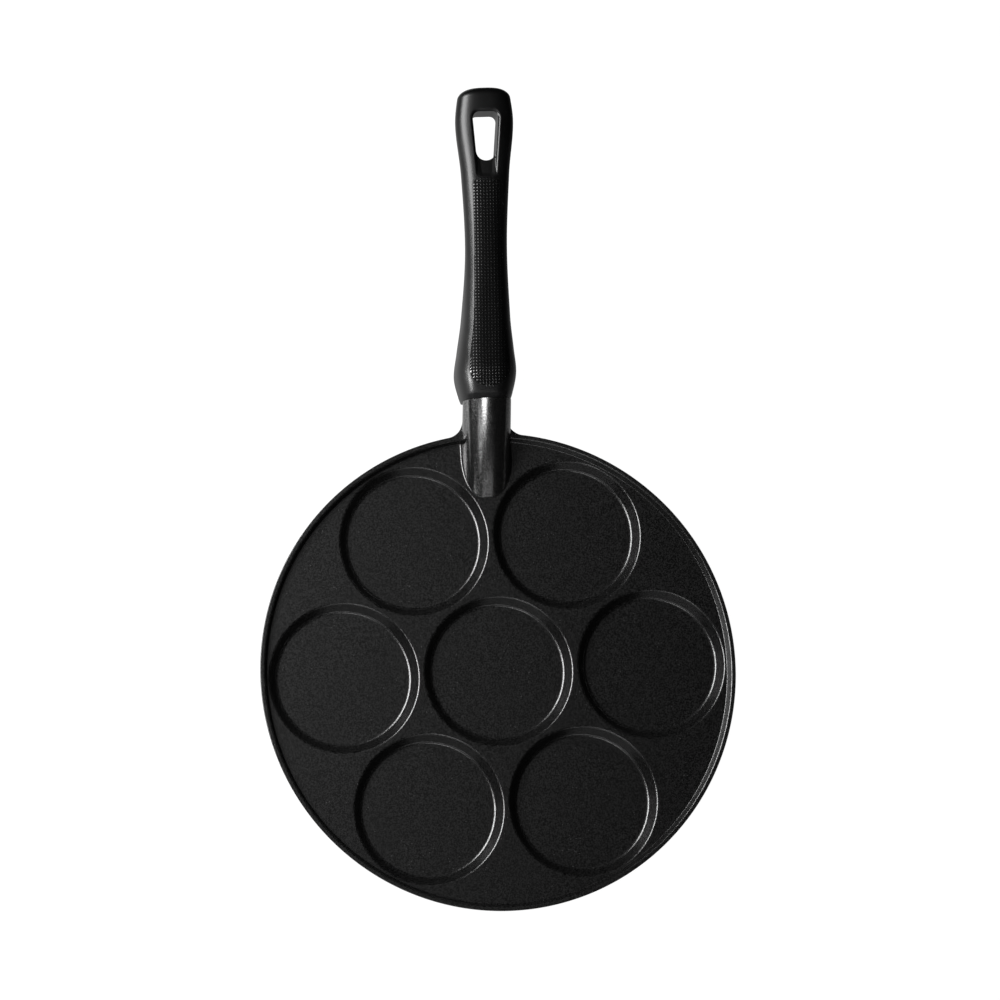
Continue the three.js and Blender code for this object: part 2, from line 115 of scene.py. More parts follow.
FLAKE_TONES = (0.12, 0.36)

deck_top = FLOOR_THICKNESS + WELL_DEPTH
deck_under = deck_top - DECK_THICKNESS
rim_top = deck_top + RIM_HEIGHT
well_pitch = 2 * WELL_MOUTH + WELL_WEB
rim_foot = well_pitch + WELL_MOUTH + DECK_MARGIN
rim_inner = rim_foot + RIM_INNER_LEAN
rim_outer = rim_inner + RIM_TOP_WIDTH
tip_y = rim_outer - NECK_REACH
neck_run = NECK_REACH + NECK_LENGTH
joint_y = tip_y + neck_run
well_lean = (WELL_MOUTH - WELL_FLOOR) / WELL_DEPTH
well_centres = [(0.0, 0.0)]
for k in range(RING_WELLS):
    angle = 2 * math.pi * (k + 0.5) / RING_WELLS
    well_centres.append((well_pitch * math.sin(angle), well_pitch * math.cos(angle)))


def mix(start, end, share):
    return start + (end - start) * share


def rounded(corners, steps=ARC_STEPS):
    """The open outline through corners (x, y, radius), with an arc for each corner that has a radius."""
    points = []
    for i, (x, y, radius) in enumerate(corners):
        corner = Vector((x, y))
        if radius == 0:
            points.append(corner)
            continue
        back = (Vector(corners[i - 1][:2]) - corner).normalized()
        on = (Vector(corners[(i + 1) % len(corners)][:2]) - corner).normalized()
        half = back.angle(on) / 2
        centre = corner + (back + on).normalized() * radius / math.sin(half)
        first = corner + back * radius / math.tan(half) - centre
        last = corner + on * radius / math.tan(half) - centre
        turn = math.atan2(first.cross(last), first.dot(last))
        points += [centre + Matrix.Rotation(turn * s / steps, 2) @ first for s in range(steps + 1)]
    return points


def bridge(bm, ring, following):
    """Faces between two closed rings of equal count, or a fan where one of them is a single point."""
    count = max(len(ring), len(following))
    for k in range(count):
        n = (k + 1) % count
        if len(ring) == 1:
            bm.faces.new((ring[0], following[k], following[n]))
        elif len(following) == 1:
            bm.faces.new((ring[k], following[0], ring[n]))
        else:
            bm.faces.new((ring[k], following[k], following[n], ring[n]))


def turned(bm, profile, centre, count):
    """A skin turned about an upright axis, through points (radius, height). Gives its first and last ring."""
    rings = []
    for radius, height in profile:
        if radius == 0:
            rings.append([bm.verts.new((*centre, height))])
            continue
        ring = []
        for k in range(count):
            angle = 2 * math.pi * k / count
            x = centre[0] + radius * math.sin(angle)
            y = centre[1] + radius * math.cos(angle)
            ring.append(bm.verts.new((x, y, height)))
        rings.append(ring)
    for ring, following in zip(rings, rings[1:]):
        bridge(bm, ring, following)
    return rings[0], rings[-1]


def plate(bm, edge, holes):
    """Flat faces between a round edge and the round holes in it, on the points of those rings."""
    loops = [edge, *holes]
    points = [v for loop in loops for v in loop]
    owner = [i for i, loop in enumerate(loops) for _ in loop]
    sides = []
    for loop in loops:
        first = len(sides)
        sides += [(first + k, first + (k + 1) % len(loop)) for k in range(len(loop))]
    flat = [v.co.xy for v in points]
    _, _, faces, source, _, _ = delaunay_2d_cdt(flat, sides, [], 0, PLATE_TOLERANCE)
    for face in faces:
        corners = [source[i][0] for i in face]
        owners = {owner[c] for c in corners}
        if len(owners) > 1 or owners == {0}:
            bm.faces.new([points[c] for c in corners])


def lofted(rings):
    """A closed skin over rings of points, with a flat face over each end."""
    bm = bmesh.new()
    skins = [[bm.verts.new(p) for p in ring] for ring in rings]
    for ring, following in zip(skins, skins[1:]):
        bridge(bm, ring, following)
    bm.faces.new(skins[0])
    bm.faces.new(skins[-1])
    return bm


def piece_from(bm, name, finish):
    """The finished mesh as an object, in metres, with its faces turned out and smooth."""
    bmesh.ops.recalc_face_normals(bm, faces=bm.faces)
    bmesh.ops.scale(bm, vec=Vector((MILLIMETRE,) * 3), verts=bm.verts)
    for face in bm.faces:
        face.smooth = True
    mesh = bpy.data.meshes.new(name)
    bm.to_mesh(mesh)
    bm.free()
    mesh.materials.append(finish)
    piece = bpy.data.objects.new(name, mesh)
    bpy.context.scene.collection.objects.link(piece)
    return piece


def apply_modifiers(piece):
    bpy.context.view_layer.objects.active = piece
    for modifier in list(piece.modifiers):
        with bpy.context.temp_override(object=piece, active_object=piece):
            bpy.ops.object.modifier_apply(modifier=modifier.name)


def combine(piece, other, operation):
    """Joins another solid to a piece, or cuts it away, and removes that solid."""
    step = piece.modifiers.new(operation, "BOOLEAN")
    step.operation = operation
    step.object = other
    step.solver = "EXACT"
    step.material_mode = "TRANSFER"
    apply_modifiers(piece)
    bpy.data.objects.remove(other)


def shade(piece, crease):
    """Smooth shading that keeps flats flat and breaks only at real creases."""
    bm = bmesh.new()
    bm.from_mesh(piece.data)
    bmesh.ops.remove_doubles(bm, verts=bm.verts, dist=WELD)
    bmesh.ops.dissolve_degenerate(bm, edges=bm.edges, dist=WELD)
    bm.to_mesh(piece.data)
    bm.free()
    piece.data.shade_smooth()
    piece.data.set_sharp_from_angle(angle=crease)
    weighted = piece.modifiers.new("weighted", "WEIGHTED_NORMAL")
    weighted.keep_sharp = True
    apply_modifiers(piece)


class Flow:
    """A value on its way through a material's nodes. Operators add Math nodes to it."""

    def __init__(self, tree, socket=None):
        self.tree = tree
        self.socket = socket

    def node(self, kind, settings=None, sockets=None, output=0):
        made = self.tree.nodes.new(kind)
        for name, value in (settings or {}).items():
            setattr(made, name, value)
        self.fill(made, sockets or {})
        return Flow(self.tree, made.outputs[output])

    def fill(self, node, sockets):
        for name, value in sockets.items():
            if isinstance(value, Flow):
                self.tree.links.new(value.socket, node.inputs[name])
            else:
                node.inputs[name].default_value = value

    def math(self, operation, *values):
        return self.node("ShaderNodeMath", {"operation": operation}, dict(enumerate(values)))

    def __add__(self, other):
        return self.math("ADD", self, other)

    def __sub__(self, other):
        return self.math("SUBTRACT", self, other)

    def __rsub__(self, other):
        return self.math("SUBTRACT", other, self)

    def __mul__(self, other):
        return self.math("MULTIPLY", self, other)

    __radd__ = __add__
    __rmul__ = __mul__

    def step(self, low, high):
        """0 below low, 1 above high, and smooth between them."""
        settings = {"interpolation_type": "SMOOTHSTEP"}
        return self.node("ShaderNodeMapRange", settings, {"Value": self, "From Min": low, "From Max": high})

    def noise(self, size, detail=2.0, roughness=0.5):
        """A soft random pattern whose grains are about this many millimetres across."""
        scale = 1 / (size * MILLIMETRE)
        sockets = {"Vector": self, "Scale": scale, "Detail": detail, "Roughness": roughness}
        return self.node("ShaderNodeTexNoise", None, sockets, "Fac")

    def blend(self, first, second):
        """A colour between two colours, with this value as the share of the second."""
        sockets = {"Factor": self, 6: first, 7: second}
        return self.node("ShaderNodeMix", {"data_type": "RGBA"}, sockets, 2)

    def bump(self, height, distance, strength):
        sockets = {"Height": height, "Distance": distance * MILLIMETRE, "Strength": strength}
        return self.node("ShaderNodeBump", None, sockets)


def new_finish(name):
    """A new material, with a flow to start its nodes from, its place on the object and its shader."""
    finish = bpy.data.materials.new(name)
    finish.use_nodes = True
    flow = Flow(finish.node_tree)
    place = flow.node("ShaderNodeTexCoord", output="Object")
    return finish, flow, place, finish.node_tree.nodes["Principled BSDF"]


def grey(level, tint=0.0):
    """A nearly neutral colour, a little bluer or, below 0, warmer."""
    return (level * (1 - tint), level, level * (1 + tint), 1.0)


def non_stick_coat():
    """Matt charcoal coat with a fine cured grain, faint clouds and scattered pale specks."""
    finish, flow, place, shader = new_finish("non_stick_coat")
    grain = place.noise(0.75, 2.0, 0.6)
    cloud = place.noise(28.0, 3.0)
    scale = 1 / (SPECK_SPACING * MILLIMETRE)
    cells = flow.node("ShaderNodeTexVoronoi", None, {"Vector": place, "Scale": scale}, "Distance")
    chosen = place.noise(5.5, 1.0)
    specks = (1 - cells.step(0.05, 0.12)) * chosen.step(0.56, 0.64)
    tone = grain.step(0.4, 0.62).blend(*map(grey, COAT_TONES))
    tone = (cloud.step(0.35, 0.7) * 0.3).blend(tone, grey(CLOUD_TONE))
    tone = (specks * 0.5).blend(tone, grey(SPECK_TONE))
    rough = 0.2 + grain * 0.08 - cloud * 0.04
    flow.fill(shader, {"Base Color": tone, "Roughness": rough, "Normal": flow.bump(grain, 0.08, 0.9)})
    return finish


def neck_coat():
    """The same coat sprayed over the polished neck: smoother, with metal flake showing in it."""
    finish, flow, place, shader = new_finish("neck_coat")
    flake = place.noise(0.6, 2.0, 0.65)
    cloud = place.noise(9.0, 2.0)
    tone = flake.step(0.38, 0.64).blend(*map(grey, FLAKE_TONES))
    rough = 0.12 + flake * 0.1 + cloud * 0.03
    flow.fill(shader, {"Base Color": tone, "Roughness": rough, "Metallic": 1.0})
    flow.fill(shader, {"Normal": flow.bump(flake, 0.03, 0.3)})
    return finish


def neck_top(run):
    """Height of the neck's top line at a level distance from the tongue's tip."""
    tip = math.tan(NECK_RISE[0])
    end = math.tan(NECK_RISE[1])
    return deck_top + tip * run + (end - tip) * run * run / (2 * neck_run)


def neck_crown(run):
    return mix(*NECK_CROWN, run / neck_run)


def neck_belly(run):
    return mix(*NECK_BELLY, run / neck_run)


def neck_squareness(run):
    return mix(*NECK_TOP_SQUARENESS, run / neck_run)


joint_z = neck_top(neck_run) - NECK_CROWN[1]
screw_line = Matrix.Translation((0, joint_y, joint_z)) @ Matrix.Rotation(SCREW_RISE, 4, "X")


def oval(half_width, crown, belly, squareness, count):
    """A rounded section of two half ovals, as points (x, height above the widest line)."""
    points = []
    for k in range(count):
        angle = 2 * math.pi * k / count
        across, up = math.cos(angle), math.sin(angle)
        power = 2 / squareness[0 if up > 0 else 1]
        height = crown if up > 0 else belly
        points.append((
            math.copysign(half_width * abs(across) ** power, across),
            math.copysign(height * abs(up) ** power, up),
        ))
    return points


def neck_bar(rings=72, points=96):
    """The neck's bar, from inside the deck at its tip to the shoulder that the grip stops at."""
    deep = deck_under + DECK_THICKNESS / 2
    pan_edge = rim_outer - RIM_OUTER_LEAN
    start = -DECK_THICKNESS / 2 / math.tan(NECK_RISE[0])
    skin = []
    for k in range(rings + 1):
        run = mix(start, neck_run, k / rings)
        crown = neck_crown(run)
        belly = neck_belly(run)
        widest = neck_top(run) - crown
        ring = []
        squareness = (neck_squareness(run), NECK_BELLY_SQUARENESS)
        for x, z in oval(NECK_WIDTH / 2, crown, belly, squareness, points):
            height = widest + z
            if math.hypot(x, tip_y + run) < pan_edge:
                height = max(height, deep + BURIED_SPREAD * z)
            ring.append((x, tip_y + run, height))
        skin.append(ring)
    return lofted(skin)


def fillet_along(path, ground, radius):
    """A hollow fillet along the foot of a wall. Its path holds (point, way out, slope of the wall)."""
    rings = []
    for (x, y), (out_x, out_y), slope in path:
        reach = radius * math.tan(slope / 2)
        ring = [(reach + SKIRT_REACH, -SKIRT_DEPTH), (reach + SKIRT_REACH / 2, -SKIRT_DEPTH / 4)]
        for s in range(ARC_STEPS + 1):
            turn = slope * s / ARC_STEPS
            ring.append((reach - radius * math.sin(turn), radius * (1 - math.cos(turn))))
        inside = ring[-1][0] - ROOT_REACH
        ring += [(inside, ring[-1][1] - ROOT_DROP), (inside, -ROOT_DEPTH), (reach + SKIRT_REACH, -ROOT_DEPTH)]
        rings.append([(x + out_x * d, y + out_y * d, ground + h) for d, h in ring])
    return lofted(rings)


def tongue_foot(ground, end, steps=40):
    """The line where the tongue leaves the deck, from its left side round the tip to its right side."""
    half = NECK_WIDTH / 2

    def side(run):
        crown = neck_crown(run)
        power = neck_squareness(run)
        rise = min(max(neck_top(run) - ground, 0.0), crown)
        return half * (1 - ((crown - rise) / crown) ** power) ** (1 / power)

    runs = [end * (k / steps) ** 2 for k in range(steps + 1)]
    places = [(side(run), tip_y + run) for run in runs]
    line = [(-x, y) for x, y in reversed(places)] + places[1:]
    path = []
    for i, (x, y) in enumerate(line):
        before = line[max(i - 1, 0)]
        after = line[min(i + 1, len(line) - 1)]
        along = (Vector(after) - Vector(before)).normalized()
        crown = neck_crown(y - tip_y)
        power = neck_squareness(y - tip_y)
        share = min(max(crown - neck_top(y - tip_y) + ground, 0.0) / crown, 1.0)
        tilt_x = (abs(x) / half) ** (power - 1) / half
        tilt_z = share ** (power - 1) / crown
        tilt_y = tilt_z * math.tan(mix(*NECK_RISE, (y - tip_y) / neck_run))
        slope = math.atan2(math.hypot(tilt_x, tilt_y), max(tilt_z, NEARLY_UPRIGHT))
        path.append(((x, y), (along.y, -along.x), slope))
    return path


def web_skin(top, bottom):
    """The web that rounds the rim into both sides of the neck, with a rounded edge above and below. It
    thins towards its ends, where its underside runs out along the neck's own underside."""

    def lifted(x, y, height):
        under = neck_top(y - tip_y) - neck_crown(y - tip_y) - neck_belly(y - tip_y) + WEB_SEAT
        return (x, y, top - (top - height) * (top - max(under, bottom)) / (top - bottom))

    centre_x = NECK_WIDTH / 2 - WEB_TUCK + WEB_FLARE
    centre_y = math.sqrt((rim_outer + WEB_FLARE) ** 2 - centre_x ** 2)
    turns = [math.pi / 2 * s / WEB_EDGE_STEPS for s in range(WEB_EDGE_STEPS + 1)]
    edge = [(WEB_EDGE * (1 - math.cos(turn)), WEB_EDGE * (1 - math.sin(turn))) for turn in turns]
    levels = [(inset, bottom + drop) for inset, drop in reversed(edge)]
    levels += [(inset, top - drop) for inset, drop in edge]
    rim_angle = math.atan2(-centre_y, -centre_x) + 2 * math.pi
    rings = []
    for inset, height in levels:
        radius = WEB_FLARE + inset
        arc = []
        for s in range(WEB_ARC_STEPS + 1):
            angle = mix(math.pi, rim_angle, s / WEB_ARC_STEPS)
            arc.append((centre_x + radius * math.cos(angle), centre_y + radius * math.sin(angle)))
        inner = rim_outer - RIM_TOP_WIDTH / 2
        foot = (inner * centre_x / (rim_outer + WEB_FLARE), inner * centre_y / (rim_outer + WEB_FLARE))
        half = arc + [foot]
        outline = half + [(-x, y) for x, y in reversed(half)]
        rings.append([lifted(x, y, height) for x, y in outline])
    return lofted(rings)


def tang_bar(clearance, start, end):
    """A bar along the screw's line with the tang's section, larger all round by a clearance."""
    x = TANG_WIDTH / 2 + clearance
    z = TANG_THICKNESS / 2 + clearance
    corner = TANG_CORNER + clearance
    outline = rounded([(-x, -z, corner), (x, -z, corner), (x, z, corner), (-x, z, corner)])
    return lofted([[screw_line @ Vector((p.x, along, p.y)) for p in outline] for along in (start, end)])


def screw_bore(profile, points=64):
    """A round solid along the screw's line, through (radius, distance from the shoulder)."""
    turns = [2 * math.pi * k / points for k in range(points)]
    return lofted([[screw_line @ Vector((r * math.cos(t), along, r * math.sin(t))) for t in turns]
                   for r, along in profile])


bm = bmesh.new()
lip = MOUTH_ROUND * math.tan((math.pi / 2 - math.atan(well_lean)) / 2)
hollow = rounded([
    (WELL_FLOOR - FLOOR_BAND, FLOOR_THICKNESS, 0),
    (WELL_FLOOR, FLOOR_THICKNESS, FLOOR_FILLET),
    (WELL_MOUTH, deck_top, MOUTH_ROUND),
    (WELL_MOUTH + lip, deck_top, 0),
])
hollow = [Vector((r, FLOOR_THICKNESS)) for r in FLOOR_RINGS] + hollow[:-1]
cup_foot = WELL_FLOOR - well_lean * FLOOR_THICKNESS + WELL_WALL * math.hypot(1, well_lean)
cup = rounded([
    (cup_foot + well_lean * deck_under, deck_under, 0),
    (cup_foot, 0, FOOT_ROUND),
    (0, 0, 0),
])
cup = cup[:-1] + [Vector((r, 0)) for r in FOOT_RINGS]
mouths = [turned(bm, hollow, centre, WELL_POINTS)[1] for centre in well_centres]
cups = [turned(bm, cup, centre, WELL_POINTS)[0] for centre in well_centres]
rim = rounded([
    (rim_foot - DECK_LEAD, deck_top, 0),
    (rim_foot, deck_top, RIM_INNER_FILLET),
    (rim_inner, rim_top, RIM_TOP_ROUND),
    (rim_outer - RIM_OUTER_INSET, rim_top, RIM_OUTER_ROUND),
    (rim_outer - RIM_OUTER_LEAN, deck_under, RIM_FOOT_ROUND),
    (rim_outer - UNDER_LEAD, deck_under, 0),
])[1:-1]
deck_edge, under_edge = turned(bm, rim, (0, 0), RIM_POINTS)
plate(bm, deck_edge, mouths)
plate(bm, under_edge, cups)
coat = non_stick_coat()
bright_coat = neck_coat()
pan = piece_from(bm, "coated_pan", coat)

neck = piece_from(neck_bar(), "neck", bright_coat)
tongue_fillet = fillet_along(tongue_foot(deck_top, rim_inner - tip_y), deck_top, NECK_FILLET)
combine(neck, piece_from(tongue_fillet, "tongue_fillet", coat), "UNION")
# The neck keeps clear of the two wells beside it
for x, y in well_centres:
    if math.hypot(x, y - tip_y) < 2 * WELL_MOUTH and y > 0:
        keep_out = bmesh.new()
        reach = WELL_MOUTH + lip + WELL_CLEAR
        turned(keep_out, [(0, 0), (reach, 0), (reach, 2 * rim_top), (0, 2 * rim_top)], (x, y), WELL_POINTS)
        combine(neck, piece_from(keep_out, "well_room", coat), "DIFFERENCE")
web = web_skin(rim_top - RIM_OUTER_ROUND, deck_under + RIM_FOOT_ROUND)
combine(neck, piece_from(web, "web", coat), "UNION")
combine(neck, piece_from(tang_bar(0, -TANG_ROOT, TANG_LENGTH), "tang", bright_coat), "UNION")
thread_end = TANG_LENGTH - SCREW_ENGAGEMENT - 2 * SCREW_RADIUS
hole_radius = SCREW_RADIUS + CLEARANCE
tapped = screw_bore([(hole_radius, thread_end), (hole_radius, TANG_LENGTH + OVERLAP)])
combine(neck, piece_from(tapped, "tapped_hole", bright_coat), "DIFFERENCE")
combine(pan, neck, "UNION")
shade(pan, PAN_CREASE)
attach(pan, "root")
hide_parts("pan_casting")

# Handle grip
# One moulding in black phenolic resin, with a stippled panel on top, a tapered hanging hole and a chamfered
# collar. It slides over the tang, and a bore from the hanging hole lets a driver reach the screw that pulls
# it home.
GRIP_LENGTH = 160.3
GRIP_RISE = (NECK_RISE[1], math.radians(15.5))
GRIP_BELLY_SQUARENESS = 2.2
COLLAR_DEPTH = 2.6
COLLAR_INSET = 0.7
COLLAR_SOFTNESS = 0.12
END_ROUND = 5.0
END_SIDE_INSET = 8.0
END_FACE_INSET = 4.0
BROW_AT = 4.5
STOP_AT = 10.0
GUARD_AT = 15.0
THROAT_AT = 27.0
SHANK_AT = 43.0
WAIST_AT = 79.0
PALM_AT = GRIP_LENGTH - 44.0
HANG_AT = GRIP_LENGTH - 17.0
GRIP_WIDTHS = (
    (0, 27.4),
    (GUARD_AT, 33.6),
    (THROAT_AT, 30.6),
    (SHANK_AT, 26.4),
    (WAIST_AT, 22.8),
    (PALM_AT, 26.2),
    (HANG_AT, 31.5),
    (GRIP_LENGTH, 27.4),
)
GRIP_CROWNS = (
    (0, 10.6),
    (BROW_AT, 12.3),
    (STOP_AT, 13.2),
    (THROAT_AT, 11.7),
    (WAIST_AT, 9.5),
    (GRIP_LENGTH, 7.9),
)
GRIP_DROPS = (
    (0, 10.0),
    (GUARD_AT, 13.0),
    (THROAT_AT, 12.0),
    (WAIST_AT, 0.6),
    (PALM_AT, 0),
    (GRIP_LENGTH, 0),
)
GRIP_SQUARENESS = (
    (0, 2.9),
    (GUARD_AT, 3.1),
    (SHANK_AT, 3.4),
    (WAIST_AT, 2.6),
    (GRIP_LENGTH, 2.6),
)
GRIP_BELLIES = (
    (0, 7.2),
    (GUARD_AT, 7.5),
    (WAIST_AT, 9.0),
    (GRIP_LENGTH, 7.5),
)
HANG_FAR = GRIP_LENGTH - 12.8
HANG_NEAR = HANG_FAR - 25.2
HANG_HALF_WIDTHS = (5.2, 7.2)
HANG_CORNERS = (5.5, 3.4)
HANG_EDGE_WIDTH = 1.7
HANG_EDGE_DEPTH = 1.3
TROUGH_LENGTH = 8.5
TROUGH_HALF_WIDTH = 4.3
TROUGH_CORNER = 2.5
TROUGH_SLOPE = 0.15
PANEL_FROM = 5.0
PANEL_TO = GRIP_LENGTH - 47.2
PANEL_HALF_WIDTHS = (
    (0, 12.0),
    (GUARD_AT, 12.0),
    (SHANK_AT, 9.4),
    (WAIST_AT, 8.7),
    (GRIP_LENGTH, 8.7),
)
PANEL_NEAR_ROUND = 10.0
PANEL_FAR_ROUND = 3.0
PANEL_DEPTH = 0.05
PANEL_EDGE = 2.0
DOT_STEPS = 7
DOT_STEP = 0.25
DOT_RADIUS = 0.58
DOT_HEIGHT = 0.2
DOT_SKIRT = 0.25
THUMB_REST = (13.0, 17.0)
PALM_REST = (84.0, 112.0)
PALM_POLISH = 0.4
PLAIN, GROUND, DOT = range(3)
GROUND_FROM = 0.5
SHOULDER_AT = TANG_LENGTH + 26.0
BORE_RADIUS = 5.6
PLAIN_ROW = 0.35
SLOPE_REACH = 0.5
TOP_COLUMNS = 49
TOP_SHARE = 0.63
FLANK_COLUMNS = 15
BELLY_COLUMNS = 7
END_ROWS = 16
GRIP_CREASE = math.radians(40)
RESIN_TINT = 0.03
RESIN_TONES = (0.0008, 0.0018)
GROUND_TONES = (0.0002, 0.0007)


def size_at(rows, at):
    """A size between its rows (distance, size), on a smooth curve that never overshoots them."""
    slopes = [(b[1] - a[1]) / (b[0] - a[0]) for a, b in zip(rows, rows[1:])]

    def tangent(i):
        before = slopes[max(i - 1, 0)]
        after = slopes[min(i, len(slopes) - 1)]
        return 0 if before * after <= 0 else 2 * before * after / (before + after)

    j = next((i for i in range(1, len(rows)) if at <= rows[i][0]), len(rows) - 1)
    span = rows[j][0] - rows[j - 1][0]
    t = (at - rows[j - 1][0]) / span
    share = t * t * (3 - 2 * t)
    leave = t * (1 - t) * (1 - t) * tangent(j - 1)
    arrive = t * t * (1 - t) * tangent(j)
    return mix(rows[j - 1][1], rows[j][1], share) + span * (leave - arrive)


def grip_centre(at):
    """Height of the grip's centre line at a level distance from the neck's shoulder."""
    start = math.tan(GRIP_RISE[0])
    end = math.tan(GRIP_RISE[1])
    return joint_z + start * at + (end - start) * at * at / (2 * GRIP_LENGTH)


def grip_quarter(half, crown, power):
    """A quarter of the grip's top from its middle to its widest line, as points (x, height). The columns that
    the panel's dots stand on come first, evenly spaced along the surface, and the flank's columns follow."""
    step = min(DOT_STEP, TOP_SHARE * (half + crown) / TOP_COLUMNS)

    def height(x):
        return crown * (1 - (x / half) ** power) ** (1 / power)

    xs = [0.0]
    for _ in range(TOP_COLUMNS):
        ahead = (xs[-1] + step / 2) / half
        slope = crown / half * ahead ** (power - 1) * (1 - ahead ** power) ** (1 / power - 1)
        xs.append(xs[-1] + step / math.hypot(1, slope))
    points = [(x, height(x)) for x in xs]
    last = points[-1][1] / crown
    for k in range(1, FLANK_COLUMNS + 1):
        up = last * (1 - k / FLANK_COLUMNS)
        points.append((half * (1 - up ** power) ** (1 / power), crown * up))
    return points


def belly_quarter(half, depth):
    """A quarter of the grip's underside from its widest line to its lowest, without those two points."""
    power = GRIP_BELLY_SQUARENESS
    split = 0.5 ** (1 / power)
    downs = [split * k / BELLY_COLUMNS for k in range(1, BELLY_COLUMNS + 1)]
    steep = [(half * (1 - down ** power) ** (1 / power), depth * down) for down in downs]
    outs = [split * (1 - k / BELLY_COLUMNS) for k in range(1, BELLY_COLUMNS)]
    return steep + [(half * out, depth * (1 - out ** power) ** (1 / power)) for out in outs]


def outline_distance(outline, point):
    """Distance from a closed outline to a point: above 0 outside it, below 0 inside."""
    nearest = math.inf
    inside = False
    for a, b in zip(outline, outline[1:] + outline[:1]):
        side = b - a
        to_point = point - a
        share = min(max(to_point.dot(side) / side.length_squared, 0.0), 1.0)
        nearest = min(nearest, (to_point - side * share).length)
        if (a.y > point.y) != (b.y > point.y):
            inside ^= point.x < a.x + (point.y - a.y) * side.x / side.y
    return -nearest if inside else nearest


def tapered_outline(near, far, half_widths, corners):
    """A four-cornered outline that widens from one distance to another, with rounded corners."""
    return rounded([
        (-half_widths[0], near, corners[0]),
        (half_widths[0], near, corners[0]),
        (half_widths[1], far, corners[1]),
        (-half_widths[1], far, corners[1]),
    ])


hang_outline = tapered_outline(HANG_NEAR, HANG_FAR, HANG_HALF_WIDTHS, HANG_CORNERS)


def top_line(at):
    return grip_centre(at) + size_at(GRIP_CROWNS, at)


def grip_stations():
    """Distances of the grip's rings from the neck's shoulder, with the rows of dots an even step apart."""
    stations = [CLEARANCE]
    while stations[-1] < GRIP_LENGTH - END_ROUND:
        at = stations[-1]
        slope = (top_line(at + SLOPE_REACH) - top_line(at - SLOPE_REACH)) / (2 * SLOPE_REACH)
        stations.append(at + (DOT_STEP if at < PANEL_TO else PLAIN_ROW) / math.hypot(1, slope))
    round_from = stations[-1]
    turns = [math.pi / 2 * k / END_ROWS for k in range(1, END_ROWS + 1)]
    return stations + [mix(round_from, GRIP_LENGTH, math.sin(turn)) for turn in turns]


def grip_skin():
    """The grip's rings of points, with the hanging hole's edges eased and the panel's dots raised, and a mark
    on each point that says if it is plain, on a dot or on the matt ground between the dots."""
    basin_half_widths = (TROUGH_HALF_WIDTH, HANG_HALF_WIDTHS[1])
    basin_corners = (TROUGH_CORNER, HANG_CORNERS[1])
    basin = tapered_outline(HANG_NEAR - TROUGH_LENGTH, HANG_FAR, basin_half_widths, basin_corners)
    middle = TOP_COLUMNS + FLANK_COLUMNS
    rings = []
    marks = []
    for row, at in enumerate(grip_stations()):
        open_share = 1 - at / COLLAR_DEPTH
        collar = COLLAR_INSET * (open_share + math.hypot(open_share, COLLAR_SOFTNESS)) / 2
        turn = max(0.0, (at - GRIP_LENGTH) / END_ROUND + 1)
        closing = 1 - math.sqrt(max(0.0, 1 - turn * turn))
        inset = collar + closing * END_FACE_INSET
        drop = size_at(GRIP_DROPS, at)
        half = size_at(GRIP_WIDTHS, at) / 2 - collar / 2 - closing * END_SIDE_INSET
        widest = grip_centre(at) - drop
        top = grip_quarter(half, size_at(GRIP_CROWNS, at) + drop - inset, size_at(GRIP_SQUARENESS, at))
        belly = belly_quarter(half, size_at(GRIP_BELLIES, at) - inset)
        section = top[::-1] + [(-x, z) for x, z in top[1:]]
        section += [(-x, -z) for x, z in belly] + [(0.0, -(size_at(GRIP_BELLIES, at) - inset))]
        section += [(x, -z) for x, z in reversed(belly)]
        ring = [Vector((x, joint_y + at, widest + z)) for x, z in section]
        mark = [PLAIN] * len(ring)
        if HANG_NEAR - TROUGH_LENGTH - HANG_EDGE_WIDTH < at < HANG_FAR + HANG_EDGE_WIDTH:
            ease_hole_edges(ring, 2 * middle + 1, at, basin)
        if PANEL_FROM < at < PANEL_TO:
            emboss_panel(ring, mark, middle, row, at)
        rings.append(ring)
        marks.append(mark)
    return rings, marks


def ease_hole_edges(ring, top_count, at, basin):
    """Lowers the top into the hanging hole and the trough before it, and eases the hole's lower edge."""
    limit = HANG_EDGE_DEPTH * min(max((at - HANG_NEAR + TROUGH_LENGTH) / TROUGH_LENGTH, 0.0), 1.0)
    for i, p in enumerate(ring):
        if abs(p.x) > HANG_HALF_WIDTHS[1] + HANG_EDGE_WIDTH:
            continue
        distance = outline_distance(basin if i < top_count else hang_outline, Vector((p.x, at)))
        if distance < HANG_EDGE_WIDTH:
            share = 1 - max(distance, -HANG_EDGE_WIDTH) / HANG_EDGE_WIDTH
            fall = HANG_EDGE_DEPTH * (share * share if share < 1 else 2 * share - 1)
            p.z -= min(fall, limit + TROUGH_SLOPE * fall) if i < top_count else -fall


def panel_half_width(at):
    """Half the panel's width at a station, with a long round near end and a short far one."""
    near = min(max((at - PANEL_FROM) / PANEL_NEAR_ROUND, 0.0), 1.0)
    far = min(max((PANEL_TO - at) / PANEL_FAR_ROUND, 0.0), 1.0)
    round_off = math.sqrt(1 - (1 - near) ** 2) * math.sqrt(1 - (1 - far) ** 2 / 2)
    return size_at(PANEL_HALF_WIDTHS, at) * round_off


def ease(share):
    """0 to 1 with a soft start and a soft end."""
    share = min(max(share, 0.0), 1.0)
    return share * share * (3 - 2 * share)


